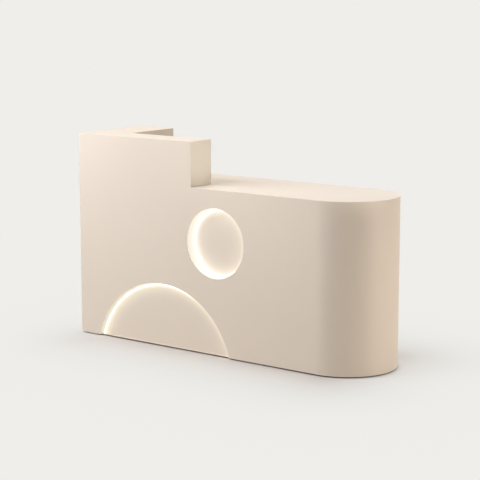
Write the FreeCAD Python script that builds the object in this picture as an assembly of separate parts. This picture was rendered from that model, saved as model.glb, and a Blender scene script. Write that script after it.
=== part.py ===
import FreeCAD, Part
import math
import os

from FreeCAD import Placement, Rotation, Vector

# Reception desk in lacquered board. Millimetres, +Z up, origin on the floor under the middle
# of the footprint. Visitors stand on the -Y side, staff sit on the +Y side, +X is the round end.

# Overall sizes
desk_length = 1600.0
desk_depth = 460.0
worktop_height = 760.0
ledge_height = 965.0
upstand_length = 685.0
upstand_depth = 145.0
left_wall_width = 200.0
floor_gap = 6.0

# Boards
board = 18.0
worktop_board = 25.0
thin_board = 9.0
edge_round = 2.0

# Round recess, its centre measured from the left end and from the floor
round_radius = 160.0
round_from_left = 820.0
round_centre_z = 517.0
round_depth = 40.0
round_disc_board = 18.0

# Arch recess, an arc struck from a centre below the floor
arch_radius = 408.0
arch_from_left = 507.0
arch_centre_drop = 108.0
arch_depth = 21.0
arch_panel_board = 12.0
arch_sill_thick = 3.0
arch_sill_set_back = 10.0

# Splayed reveal of both recesses, and the lit slot round their panels
reveal_taper = 7.0
light_slot = 8.0
liner_wall = 6.0
back_plate_rim = 14.0
diffuser_thick = 5.0
diffuser_set_back = 1.0
diffuser_clearance = 0.2
diffuser_sleeve = 1.2
sleeve_set_back = 0.5
strip_width = 5.0
strip_thick = 1.5
cavity_clearance = 33.0

# Staff side
kneehole_width = 560.0
drawer_bay_width = 292.0
reveal = 3.0
finger_notch_radius = 26.0
top_front_height = 150.0
middle_front_height = 235.0

# Drawer boxes and their groove runners
drawer_board = 15.0
drawer_bottom_board = 6.0
drawer_side_clearance = 1.5
drawer_back_clearance = 15.0
drawer_foot_clearance = 12.0
drawer_top_clearance = 40.0
bottom_groove_depth = 5.0
bottom_groove_rise = 8.0
runner_height = 16.0
runner_back_clearance = 24.5
runner_rise = 34.0
groove_depth = 8.0
groove_clearance = 0.5
groove_front_land = 18.0

# Cupboard
pivot_pin_radius = 4.0
pivot_pin_in_door = 20.0
pivot_pin_in_bush = 10.0
pivot_clearance = 0.05
bush_wall = 3.0
bush_length = 12.0
bush_flange = 2.0
shelf_height = 380.0
shelf_clearance = 2.0
shelf_set_back = 12.0
shelf_pin_radius = 2.5
shelf_pin_half_length = 10.0
shelf_pin_inset = 60.0
catch_drop = 50.0
door_notch_drop = 170.0
catch_size = 12.0
catch_length = 40.0
catch_gap = 0.3
strike_thick = 1.2

# Feet
foot_pad_radius = 15.0
foot_stem_radius = 4.0
foot_stem_length = 18.0
foot_insert_radius = 6.0
foot_insert_length = 14.0
foot_pad_socket = 4.0
foot_inset = 45.0

# Electrics
driver_length = 160.0
driver_width = 60.0
driver_thick = 32.0
driver_rise = 65.0
driver_foot = 12.0
cable_radius = 2.5
cable_bend = 10.0
cable_pitch = 8.0
switch_width = 22.0
switch_length = 30.0
switch_body_depth = 20.0
switch_rim = 2.0
switch_wall = 3.0
switch_height = 690.0
switch_from_back = 55.0
switch_tilt = 9.0
rocker_clearance = 1.1
rocker_pin_radius = 1.5
rocker_pin_clearance = 0.05
rocker_pivot_depth = 4.0
bush_bore_radius = 5.0
cable_bush_wall = 5.0
cable_bush_height = 60.0
cable_bush_flange = 3.0

# Cable grommet in the worktop
grommet_radius = 30.0
grommet_wall = 2.0
grommet_flange = 4.0
grommet_cap_gap = 0.4
grommet_cap_thick = 3.0
grommet_lip = 2.0
grommet_from_wall = 70.0
grommet_slot_width = 16.0
grommet_slot_depth = 12.0

# Fixings
screw_head_radius = 4.0
screw_head_depth = 2.4
screw_shank_radius = 2.0
screw_slot_width = 0.9
screw_slot_depth = 1.2
screw_from_end = 50.0
panel_screw_length = 32.0
recess_screw_length = 16.0
bracket_leg = 30.0
bracket_width = 20.0
bracket_thick = 2.0

# Main lines of the desk
x_left = -desk_length / 2
x_right = desk_length / 2
y_front = -desk_depth / 2
y_back = desk_depth / 2
end_radius = desk_depth / 2
x_tangent = x_right - end_radius
x_step = x_left + upstand_length
x_wall = x_left + left_wall_width
y_ledge = y_front + upstand_depth
y_panel = y_front + board
y_rear = y_back - board
z_base = floor_gap + board
z_under_worktop = worktop_height - worktop_board
z_under_ledge = ledge_height - board

# Depths of the front wall
round_x = x_left + round_from_left
arch_x = x_left + arch_from_left
arch_z = -arch_centre_drop
y_disc = y_front + round_depth
y_disc_back = y_disc + round_disc_board
y_round_plate = y_disc_back + thin_board
y_arch = y_front + arch_depth
y_arch_back = y_arch + arch_panel_board
y_arch_plate = y_arch_back + thin_board
y_lining = y_round_plate + cavity_clearance
y_lining_face = y_lining + thin_board
round_foot = round_radius - reveal_taper
arch_foot = arch_radius - reveal_taper
round_plate_radius = round_radius + liner_wall + back_plate_rim
arch_plate_radius = arch_radius + liner_wall + back_plate_rim
arch_plate_top = arch_z + arch_plate_radius
z_stud = arch_plate_top + back_plate_rim

# Uprights of the staff side
x_pedestal = x_wall + kneehole_width
x_bay = x_pedestal + board
x_middle = x_bay + drawer_bay_width
x_cupboard = x_middle + board
x_parting = x_middle + board / 2
x_door_left = x_parting + reveal / 2
x_pivot = x_tangent - reveal - board / 2
y_pivot = y_back - board / 2
z_fronts = z_base + reveal
z_fronts_top = z_under_worktop - reveal

along_x = Vector(1, 0, 0)
along_y = Vector(0, 1, 0)
along_z = Vector(0, 0, 1)


def box(x0, x1, y0, y1, z0, z1):
    return Part.makeBox(x1 - x0, y1 - y0, z1 - z0, Vector(x0, y0, z0))


def rod(start, direction, length, radius):
    return Part.makeCylinder(radius, length, start, direction)


def disc(x, z, radius, y0, y1):
    """Round board lying in the plane of the front panel."""
    return rod(Vector(x, y0, z), along_y, y1 - y0, radius)


def hoop(x, z, inner, outer, y0, y1):
    """Ring round an axis that runs from front to back."""
    return disc(x, z, outer, y0, y1).cut(disc(x, z, inner, y0, y1))


def recess(x, z, radius, depth, y_end):
    """Space of a recess in the front: a reveal that narrows to its foot, then straight to y_end."""
    foot = radius - reveal_taper
    reveal_space = Part.makeCone(radius, foot, depth, Vector(x, y_front, z), along_y)
    return reveal_space.fuse(disc(x, z, foot, y_front + depth, y_end)).removeSplitter()


def above_floor(shape):
    """Keeps what lies above the gap under the desk."""
    reach = 2 * desk_length
    return shape.cut(box(-reach, reach, -reach, reach, -reach, floor_gap))


def plate(edges, z0, z1):
    """Flat board from a closed outline drawn at height z0."""
    return Part.Face(Part.Wire(edges)).extrude(Vector(0, 0, z1 - z0))


def outline(points, z):
    """Straight edges through plan points, left open at the end."""
    places = [Vector(x, y, z) for x, y in points]
    return [Part.makeLine(a, b) for a, b in zip(places, places[1:])]


def half_round(radius, z):
    """Edge of the round end, from the visitor side to the staff side."""
    start = Vector(x_tangent, -radius, z)
    middle = Vector(x_tangent + radius, 0, z)
    end = Vector(x_tangent, radius, z)
    return Part.Arc(start, middle, end).toShape()


def level(edge, axis, value):
    """True for an edge that lies wholly at one coordinate."""
    bounds = edge.BoundBox
    low = getattr(bounds, axis + "Min")
    high = getattr(bounds, axis + "Max")
    return abs(low - value) < 1e-4 and abs(high - value) < 1e-4


def round_edges(shape, radius, wanted):
    return shape.makeFillet(radius, [edge for edge in shape.Edges if wanted(edge)])


def bevel_edges(shape, width, wanted):
    return shape.makeChamfer(width, [edge for edge in shape.Edges if wanted(edge)])


def round_upright(shape, x, y, z0, z1, into_x, into_y):
    """Rounds an upright corner between two heights; into_x and into_y point into the board."""
    corner = box(
        min(x, x + into_x * edge_round), max(x, x + into_x * edge_round),
        min(y, y + into_y * edge_round), max(y, y + into_y * edge_round), z0, z1)
    centre = Vector(x + into_x * edge_round, y + into_y * edge_round, z0)
    return shape.cut(corner.cut(rod(centre, along_z, z1 - z0, edge_round)))


def save(node, *shapes):
    solids = [solid for shape in shapes for solid in shape.Solids]
    whole = solids[0] if len(solids) == 1 else Part.makeCompound(solids)
    whole.exportStep(os.path.join("parts", node + ".step"))


def turned(shape, place, direction):
    """Moves a shape made along +Z at the origin to a place, pointing in a direction."""
    moved = shape.copy()
    moved.Placement = Placement(place, Rotation(along_z, direction))
    return moved


def screw_blank(length):
    head = Part.makeCone(screw_head_radius, screw_shank_radius, screw_head_depth)
    return head.fuse(rod(Vector(0, 0, 0), along_z, length, screw_shank_radius)).removeSplitter()


def screw_with_slots(length):
    reach = screw_head_radius * 0.6
    half = screw_slot_width / 2
    cross = box(-reach, reach, -half, half, 0, screw_slot_depth)
    cross = cross.fuse(box(-half, half, -reach, reach, 0, screw_slot_depth))
    return screw_blank(length).cut(cross)


def screws(places, direction, length):
    return [turned(screw_with_slots(length), place, direction) for place in places]


def drilled(shape, places, direction, length):
    """Cuts the countersunk hole of every screw out of a board."""
    for place in places:
        shape = shape.cut(turned(screw_blank(length), place, direction))
    return shape


def cable(points):
    """Round cable through points, with one bend radius at every corner."""
    edges = []
    start = points[0]
    for before, corner, after in zip(points, points[1:], points[2:]):
        back = (before - corner).normalize()
        ahead = (after - corner).normalize()
        enter = corner + back * cable_bend
        leave = corner + ahead * cable_bend
        centre = enter + ahead * cable_bend
        middle = centre + (corner - centre).normalize() * cable_bend
        edges.append(Part.makeLine(start, enter))
        edges.append(Part.Arc(enter, middle, leave).toShape())
        start = leave
    edges.append(Part.makeLine(start, points[-1]))
    profile = Part.Wire(Part.makeCircle(cable_radius, points[0], points[1] - points[0]))
    return Part.Wire(edges).makePipeShell([profile], True, False)


# Places of the fixings
stud_places = [
    x_wall + thin_board,
    (x_wall + round_x - round_plate_radius) / 2,
    x_middle - thin_board - board,
]
stud_screw_heights = [
    z_stud + screw_from_end, (z_stud + z_under_worktop) / 2, z_under_worktop - screw_from_end]
lining_screws = [
    Vector(x + board / 2, y_lining_face, z) for x in stud_places for z in stud_screw_heights]

rib_height = (z_base + ledge_height) / 2
driver_height = rib_height + board + driver_rise + driver_width / 2
wall_screws = [
    Vector(x_wall, y, z)
    for y in (y_lining + screw_from_end, (y_lining + y_rear) / 2, y_rear - screw_from_end)
    for z in (floor_gap + board / 2, rib_height + board / 2)]

disc_screw_circle = round_radius * 0.6
disc_screws = [
    Vector(round_x + disc_screw_circle * math.cos(turn), y_round_plate,
           round_centre_z + disc_screw_circle * math.sin(turn))
    for turn in [math.radians(45 + 90 * step) for step in range(4)]]
arch_screw_circle = arch_radius * 0.8
arch_screws = [
    Vector(arch_x + arch_screw_circle * math.cos(turn), y_arch_plate,
           arch_z + arch_screw_circle * math.sin(turn))
    for turn in [math.radians(angle) for angle in (40, 65, 90, 115, 140)]]

round_slot_middle = round_foot - light_slot / 2
arch_slot_middle = arch_foot - light_slot / 2
round_cable_hole = Vector(round_x, y_disc_back, round_centre_z - round_slot_middle)
arch_cable_hole = Vector(arch_x, y_arch_back, arch_z + arch_slot_middle)

bush_hole_radius = pivot_pin_radius + pivot_clearance + bush_wall
cable_bush_radius = bush_bore_radius + cable_bush_wall
cable_bush_x = x_left + left_wall_width / 2

shelf_pin_turns = [math.radians(-50), math.radians(50)]
shelf_pin_z = shelf_height - shelf_pin_radius
shelf_pin_rows = [y_panel + shelf_pin_inset, y_rear - shelf_pin_inset]
grommet_x = x_wall + grommet_from_wall
grommet_y = y_ledge + grommet_from_wall
switch_y = y_back - switch_from_back


def shelf_pins():
    """Two pins in the middle partition and two pointing inwards from the curved shell."""
    length = 2 * shelf_pin_half_length
    straight = [
        rod(Vector(x_cupboard - shelf_pin_half_length, y, shelf_pin_z), along_x, length, shelf_pin_radius)
        for y in shelf_pin_rows]
    outer = end_radius - board + shelf_pin_half_length
    radial = []
    for turn in shelf_pin_turns:
        direction = Vector(math.cos(turn), math.sin(turn), 0)
        start = Vector(x_tangent, 0, shelf_pin_z) + direction * outer
        radial.append(rod(start, direction * -1, length, shelf_pin_radius))
    return straight + radial


# Outer shell


def make_front_panel():
    profile = [
        Vector(x_left, y_front, floor_gap),
        Vector(x_tangent, y_front, floor_gap),
        Vector(x_tangent, y_front, z_under_worktop),
        Vector(x_step, y_front, z_under_worktop),
        Vector(x_step, y_front, z_under_ledge),
        Vector(x_left, y_front, z_under_ledge),
    ]
    panel = Part.Face(Part.makePolygon(profile + profile[:1])).extrude(Vector(0, board, 0))
    panel = panel.cut(recess(round_x, round_centre_z, round_radius, round_depth, y_disc_back))
    panel = panel.cut(recess(arch_x, arch_z, arch_radius, arch_depth, y_arch_back))
    panel = round_upright(panel, x_left, y_front, floor_gap, z_under_ledge, 1, 1)
    panel = round_upright(panel, x_step, y_front, worktop_height, z_under_ledge, -1, 1)
    save("front_panel", panel)


def make_left_wall():
    save("left_end_panel", box(x_left, x_left + board, y_panel, y_rear, floor_gap, z_under_ledge))

    rear = box(x_left, x_wall, y_rear, y_back, floor_gap, z_under_ledge)
    rear = round_upright(rear, x_left, y_back, floor_gap, z_under_ledge, 1, -1)
    rear = round_upright(rear, x_wall, y_back, floor_gap, z_under_worktop, -1, -1)
    rear = round_upright(rear, x_wall, y_back, worktop_height, z_under_ledge, -1, -1)
    rear = rear.cut(disc(cable_bush_x, cable_bush_height, cable_bush_radius, y_rear, y_back))
    save("left_wall_rear_panel", rear)

    inner = box(x_wall - board, x_wall, y_lining, y_rear, floor_gap, z_under_ledge)
    inner = inner.cut(switch_housing())
    inner = drilled(inner, wall_screws, along_x * -1, panel_screw_length)
    save("left_wall_inner_panel", inner)

    for node, z in (("left_wall_base", floor_gap), ("left_wall_rib", rib_height)):
        shelf = box(x_left + board, x_wall - board, y_lining, y_rear, z, z + board)
        shelf = drilled(shelf, wall_screws, along_x * -1, panel_screw_length)
        if z == floor_gap:
            shelf = with_foot_holes(shelf)
        save(node, shelf)


def make_upstand():
    points = [
        (x_left, y_front), (x_step, y_front), (x_step, y_ledge),
        (x_wall, y_ledge), (x_wall, y_back), (x_left, y_back), (x_left, y_front)]
    ledge = plate(outline(points, z_under_ledge), z_under_ledge, ledge_height)
    for x, y, into_x, into_y in (
            (x_left, y_front, 1, 1), (x_step, y_front, -1, 1), (x_step, y_ledge, -1, -1),
            (x_wall, y_back, -1, -1), (x_left, y_back, 1, -1)):
        ledge = round_upright(ledge, x, y, z_under_ledge, ledge_height, into_x, into_y)
    ledge = round_edges(ledge, edge_round * 0.9, lambda edge: level(edge, "Z", ledge_height))
    save("ledge_top", ledge)

    save("upstand_inner_panel", box(
        x_wall, x_step - board, y_ledge - board, y_ledge, worktop_height, z_under_ledge))

    cap = box(x_step - board, x_step, y_panel, y_ledge, worktop_height, z_under_ledge)
    cap = round_upright(cap, x_step, y_ledge, worktop_height, z_under_ledge, -1, -1)
    save("upstand_end_cap", cap)

    length = x_step - board - x_wall
    ribs = []
    for share in (1 / 3, 2 / 3):
        x = x_wall + share * length
        ribs.append(box(
            x - board / 2, x + board / 2, y_panel, y_ledge - board, worktop_height, z_under_ledge))
    save("upstand_ribs", *ribs)


def make_worktop():
    z = z_under_worktop
    edges = outline([
        (x_tangent, y_back), (x_wall, y_back), (x_wall, y_panel), (x_step, y_panel),
        (x_step, y_front), (x_tangent, y_front)], z)
    top = plate(edges + [half_round(end_radius, z)], z, worktop_height)
    top = round_edges(
        top, edge_round,
        lambda edge: level(edge, "Z", worktop_height) and (
            level(edge, "Y", y_front) or level(edge, "Y", y_back)
            or edge.BoundBox.XMax > x_tangent + 1))
    top = top.cut(rod(Vector(grommet_x, grommet_y, z), along_z, worktop_board, grommet_radius))
    top = top.cut(rod(Vector(x_pivot, y_pivot, z), along_z, bush_length, bush_hole_radius))
    save("worktop", top)


def make_curved_end():
    height = z_under_worktop - floor_gap
    centre = Vector(x_tangent, 0, floor_gap)
    shell = Part.makeCylinder(end_radius, height, centre, along_z)
    shell = shell.cut(Part.makeCylinder(end_radius - board, height, centre, along_z))
    shell = shell.common(box(x_tangent, x_right, y_front, y_back, floor_gap, z_under_worktop))
    for pin in shelf_pins():
        shell = shell.cut(pin)
    save("curved_end_shell", shell)


# Carcass


def make_carcass():
    lining = box(x_wall, x_middle, y_lining, y_lining_face, floor_gap, z_under_worktop)
    save("kneehole_lining", drilled(lining, lining_screws, along_y * -1, panel_screw_length))

    rail = box(x_left + board, x_middle, y_arch_plate, y_lining, floor_gap, z_base)
    save("front_base_rail", with_foot_holes(rail))

    inner = end_radius - board
    edges = outline([
        (x_tangent, inner), (x_tangent, y_back), (x_pedestal, y_back), (x_pedestal, y_lining_face),
        (x_middle, y_lining_face), (x_middle, y_panel), (x_tangent, y_panel)], floor_gap)
    base = plate(edges + [half_round(inner, floor_gap)], floor_gap, z_base)
    base = base.cut(rod(
        Vector(x_pivot, y_pivot, z_base - bush_length), along_z, bush_length, bush_hole_radius))
    save("base_board", with_foot_holes(base))

    save("partition_left", box(
        x_pedestal, x_bay, y_lining_face, y_rear, z_base, z_under_worktop))

    middle = box(x_middle, x_cupboard, y_panel, y_rear, z_base, z_under_worktop)
    for pin in shelf_pins():
        middle = middle.cut(pin)
    save("partition_middle", middle)

    studs = [
        drilled(
            box(x, x + board, y_panel, y_lining, z_stud, z_under_worktop),
            lining_screws, along_y * -1, panel_screw_length)
        for x in stud_places]
    save("wall_studs", *studs)


def make_shelf():
    radius = end_radius - board - shelf_clearance
    edges = outline([
        (x_tangent, radius), (x_tangent, y_rear - shelf_set_back),
        (x_cupboard + shelf_clearance, y_rear - shelf_set_back),
        (x_cupboard + shelf_clearance, -radius), (x_tangent, -radius)], shelf_height)
    shelf = plate(edges + [half_round(radius, shelf_height)], shelf_height, shelf_height + board)
    save("cupboard_shelf", shelf)
    save("shelf_pins", *shelf_pins())


# Feet


def foot_places():
    """Feet under the left wall, the front rail and the base board, all set back from the faces."""
    rail_y = (y_arch_plate + y_lining) / 2
    return [
        (x_left + left_wall_width / 2, y_rear - foot_inset),
        (x_left + left_wall_width / 2, rail_y),
        (arch_x, rail_y),
        (x_pedestal + foot_inset, y_lining_face + foot_inset),
        (x_pedestal + foot_inset, y_rear - foot_inset),
        (x_cupboard + foot_inset, y_panel + foot_inset),
        (x_cupboard + foot_inset, y_rear - foot_inset),
        (x_right - board - foot_inset, 0.0),
    ]


def with_foot_holes(shape):
    for x, y in foot_places():
        shape = shape.cut(rod(Vector(x, y, floor_gap), along_z, foot_insert_length, foot_insert_radius))
        shape = shape.cut(rod(Vector(x, y, floor_gap), along_z, board, foot_stem_radius))
    return shape


def make_feet():
    pads = []
    stems = []
    inserts = []
    for x, y in foot_places():
        floor = Vector(x, y, 0)
        socket = Vector(x, y, floor_gap - foot_pad_socket)
        under = Vector(x, y, floor_gap)
        pad = rod(floor, along_z, floor_gap, foot_pad_radius)
        pad = round_edges(pad, edge_round / 2, lambda edge: level(edge, "Z", floor_gap))
        pads.append(pad.cut(rod(socket, along_z, foot_pad_socket, foot_stem_radius)))
        stems.append(rod(socket, along_z, foot_stem_length + foot_pad_socket, foot_stem_radius))
        insert = rod(under, along_z, foot_insert_length, foot_insert_radius)
        inserts.append(insert.cut(rod(under, along_z, foot_insert_length, foot_stem_radius)))
    save("foot_pads", *pads)
    save("foot_studs", *stems, *inserts)


# Lit recesses


def diffuser(x, z, radius, depth):
    """Opal L-section: a foot in the lit slot and a thin sleeve along the reveal."""
    outer = radius - diffuser_clearance
    foot_front = y_front + depth + diffuser_set_back
    foot_back = foot_front + diffuser_thick
    sleeve = recess(x, z, outer, depth, foot_back)
    sleeve = sleeve.cut(recess(x, z, outer - diffuser_sleeve, depth, foot_back))
    sleeve = sleeve.cut(disc(x, z, radius, y_front, y_front + sleeve_set_back))
    foot = hoop(
        x, z, radius - reveal_taper - light_slot + diffuser_clearance, outer - reveal_taper,
        foot_front, foot_back)
    return foot.fuse(sleeve).removeSplitter()


def make_round_recess():
    x = round_x
    z = round_centre_z
    disc_radius = round_foot - light_slot
    hole = rod(round_cable_hole, along_y, thin_board, cable_radius)

    wall = disc(x, z, round_radius + liner_wall, y_panel, y_disc_back)
    save("round_recess_liner", wall.cut(recess(x, z, round_radius, round_depth, y_disc_back)))

    face = disc(x, z, disc_radius, y_disc, y_disc_back)
    face = bevel_edges(face, edge_round / 2, lambda edge: level(edge, "Y", y_disc))
    save("round_recess_disc", drilled(face, disc_screws, along_y * -1, recess_screw_length))

    back = disc(x, z, round_plate_radius, y_disc_back, y_round_plate).cut(hole)
    save("round_recess_back", drilled(back, disc_screws, along_y * -1, recess_screw_length))

    strip = hoop(
        x, z, round_slot_middle - strip_width / 2, round_slot_middle + strip_width / 2,
        y_disc_back - strip_thick, y_disc_back)
    save("round_light_strip", strip)

    save("round_light_diffuser", diffuser(x, z, round_radius, round_depth))


def make_arch_recess():
    x = arch_x
    z = arch_z
    panel_radius = arch_foot - light_slot
    hole = rod(arch_cable_hole, along_y, thin_board, cable_radius)

    wall = disc(x, z, arch_radius + liner_wall, y_panel, y_arch_back)
    wall = above_floor(wall.cut(recess(x, z, arch_radius, arch_depth, y_arch_back)))
    sill_front = y_front + arch_sill_set_back
    sill = recess(x, z, arch_radius - diffuser_sleeve - 2 * diffuser_clearance, arch_depth, y_arch_back)
    sill = sill.common(box(x_left, x_right, sill_front, y_arch, floor_gap, floor_gap + arch_sill_thick))
    save("arch_recess_liner", wall, sill)

    face = disc(x, z, panel_radius, y_arch, y_arch_back)
    face = above_floor(bevel_edges(face, edge_round / 2, lambda edge: level(edge, "Y", y_arch)))
    save("arch_recess_panel", drilled(face, arch_screws, along_y * -1, recess_screw_length))

    back = above_floor(disc(x, z, arch_plate_radius, y_arch_back, y_arch_plate)).cut(hole)
    save("arch_recess_back", drilled(back, arch_screws, along_y * -1, recess_screw_length))

    strip = hoop(
        x, z, arch_slot_middle - strip_width / 2, arch_slot_middle + strip_width / 2,
        y_arch_back - strip_thick, y_arch_back)
    save("arch_light_strip", above_floor(strip))

    save("arch_light_diffuser", above_floor(diffuser(x, z, arch_radius, arch_depth)))


# Electrics


def driver_box():
    y0 = -driver_length / 2
    return y0, y0 + driver_length


def make_electrics():
    y0, y1 = driver_box()
    x0 = x_left + board
    z0 = driver_height - driver_width / 2
    z1 = driver_height + driver_width / 2
    case = box(x0, x0 + driver_thick, y0, y1, z0, z1)
    case = round_edges(case, edge_round, lambda edge: level(edge, "X", x0 + driver_thick))
    for foot_y in (y0 - driver_foot, y1):
        case = case.fuse(box(x0, x0 + bracket_thick, foot_y, foot_y + driver_foot, z0, z1))
    save("light_driver", case.removeSplitter())

    x_cable = x0 + driver_thick / 2
    y_run = (y_round_plate + y_lining) / 2
    z_run = (arch_plate_top + z_stud) / 2
    to_round = cable([
        Vector(x_cable, y0, driver_height),
        Vector(x_cable, y_run, driver_height),
        Vector(x_cable, y_run, z_run),
        Vector(round_x, y_run, z_run),
        Vector(round_x, y_run, round_cable_hole.z),
        round_cable_hole,
    ])
    y_next = y_run - cable_pitch * 0.9
    z_next = driver_height - 2 * cable_pitch
    to_arch = cable([
        Vector(x_cable + cable_pitch, y0, z_next),
        Vector(x_cable + cable_pitch, y_next, z_next),
        Vector(x_cable + cable_pitch, y_next, z_run),
        Vector(arch_x, y_next, z_run),
        Vector(arch_x, y_next, arch_cable_hole.z),
        arch_cable_hole,
    ])
    to_switch = cable([
        Vector(x_cable, y1, driver_height),
        Vector(x_cable, switch_y, driver_height),
        Vector(x_cable, switch_y, switch_height),
        Vector(x_wall - switch_body_depth, switch_y, switch_height),
    ])
    save("light_wiring", to_round, to_arch, to_switch)

    bush = disc(cable_bush_x, cable_bush_height, cable_bush_radius, y_rear, y_back)
    collar = disc(
        cable_bush_x, cable_bush_height, cable_bush_radius + cable_bush_flange,
        y_rear - cable_bush_flange, y_rear)
    bore = disc(
        cable_bush_x, cable_bush_height, bush_bore_radius, y_rear - cable_bush_flange, y_back)
    save("cable_bush", bush.fuse(collar).removeSplitter().cut(bore))


def switch_housing():
    """Outside of the switch body where it passes through the panel."""
    half_width = switch_width / 2 - switch_rim
    half_length = switch_length / 2 - switch_rim
    return box(
        x_wall - switch_body_depth, x_wall, switch_y - half_width, switch_y + half_width,
        switch_height - half_length, switch_height + half_length)


def make_switch():
    half_width = switch_width / 2 - switch_rim - switch_wall
    half_length = switch_length / 2 - switch_rim - switch_wall
    rim = box(
        x_wall, x_wall + switch_rim, switch_y - switch_width / 2, switch_y + switch_width / 2,
        switch_height - switch_length / 2, switch_height + switch_length / 2)
    rim = round_edges(rim, edge_round / 2, lambda edge: level(edge, "X", x_wall + switch_rim))
    well = box(
        x_wall - switch_body_depth + switch_wall, x_wall + switch_rim,
        switch_y - half_width, switch_y + half_width,
        switch_height - half_length, switch_height + half_length)
    pivot = Vector(x_wall - rocker_pivot_depth, switch_y - half_width - switch_wall / 2, switch_height)
    pin_length = 2 * half_width + switch_wall
    body = switch_housing().fuse(rim).removeSplitter().cut(well)
    body = body.cut(rod(pivot, along_y, pin_length, rocker_pin_radius + rocker_pin_clearance))
    save("switch_body", body)

    reach = half_length - rocker_clearance
    width = half_width - rocker_clearance / 4
    face = x_wall + switch_rim
    side = switch_y - width
    profile = [
        Vector(x_wall - rocker_pivot_depth * 1.8, side, switch_height),
        Vector(x_wall - rocker_pivot_depth / 2, side, switch_height - reach),
        Vector(face + switch_rim, side, switch_height - reach),
        Vector(face, side, switch_height),
        Vector(face + switch_rim, side, switch_height + reach),
        Vector(x_wall - rocker_pivot_depth / 2, side, switch_height + reach),
    ]
    rocker = Part.Face(Part.makePolygon(profile + profile[:1])).extrude(Vector(0, 2 * width, 0))
    rocker = rocker.fuse(rod(pivot, along_y, pin_length, rocker_pin_radius)).removeSplitter()
    rocker.rotate(pivot, along_y, switch_tilt)
    save("switch_rocker", rocker)


# Staff side fittings


def front_heights():
    """Bottom and top of each drawer front, from the top drawer down."""
    top = z_fronts_top
    middle = top - top_front_height - reveal
    bottom = middle - middle_front_height - reveal
    return [
        (top - top_front_height, top),
        (middle - middle_front_height, middle),
        (z_fronts, bottom),
    ]


def runner_band(z0):
    """Bottom and top of the runner of a drawer whose front starts at z0."""
    low = z0 + drawer_foot_clearance + runner_rise
    return low, low + runner_height


def make_drawer(node, z0, z1):
    x0 = x_bay + drawer_side_clearance
    x1 = x_middle - drawer_side_clearance
    y0 = y_lining_face + drawer_back_clearance
    side_z0 = z0 + drawer_foot_clearance
    side_z1 = z1 - drawer_top_clearance
    bottom_z0 = side_z0 + bottom_groove_rise
    bottom_z1 = bottom_z0 + drawer_bottom_board
    bottom = box(
        x0 + drawer_board - bottom_groove_depth, x1 - drawer_board + bottom_groove_depth,
        y0, y_rear + bottom_groove_depth, bottom_z0, bottom_z1)
    save(node + "_bottom", bottom)

    front = box(x_pedestal, x_parting - reveal / 2, y_rear, y_back, z0, z1)
    middle_x = (x_pedestal + x_parting - reveal / 2) / 2
    front = front.cut(disc(middle_x, z1, finger_notch_radius, y_rear, y_back))
    front = round_edges(front, edge_round / 2, lambda edge: level(edge, "Y", y_back))
    save(node + "_front", front.cut(bottom))

    groove_z0, groove_z1 = runner_band(z0)
    groove_z0 -= groove_clearance
    groove_z1 += groove_clearance
    groove_end = y_rear - groove_front_land
    left = box(x0, x0 + drawer_board, y0, y_rear, side_z0, side_z1)
    left = left.cut(box(x0, x0 + groove_depth, y0, groove_end, groove_z0, groove_z1))
    right = box(x1 - drawer_board, x1, y0, y_rear, side_z0, side_z1)
    right = right.cut(box(x1 - groove_depth, x1, y0, groove_end, groove_z0, groove_z1))
    save(node + "_sides", left.cut(bottom), right.cut(bottom))

    save(node + "_back", box(
        x0 + drawer_board, x1 - drawer_board, y0, y0 + drawer_board, bottom_z1, side_z1))


def make_drawers():
    runners = []
    proud = drawer_side_clearance + groove_depth - groove_clearance
    start = y_lining_face + runner_back_clearance
    end = y_rear - groove_front_land - groove_clearance
    for number, (z0, z1) in enumerate(front_heights(), start=1):
        make_drawer("drawer_%d" % number, z0, z1)
        low, high = runner_band(z0)
        for x0, x1 in ((x_bay, x_bay + proud), (x_middle - proud, x_middle)):
            runners.append(box(x0, x1, start, end, low, high))
    save("drawer_runners", *runners)


def pivot_pins():
    """Lower and upper pin, each from inside the door into its bush."""
    length = pivot_pin_in_door + reveal + pivot_pin_in_bush
    low = Vector(x_pivot, y_pivot, z_base - pivot_pin_in_bush)
    high = Vector(x_pivot, y_pivot, z_fronts_top - pivot_pin_in_door)
    return [rod(start, along_z, length, pivot_pin_radius) for start in (low, high)]


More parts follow.
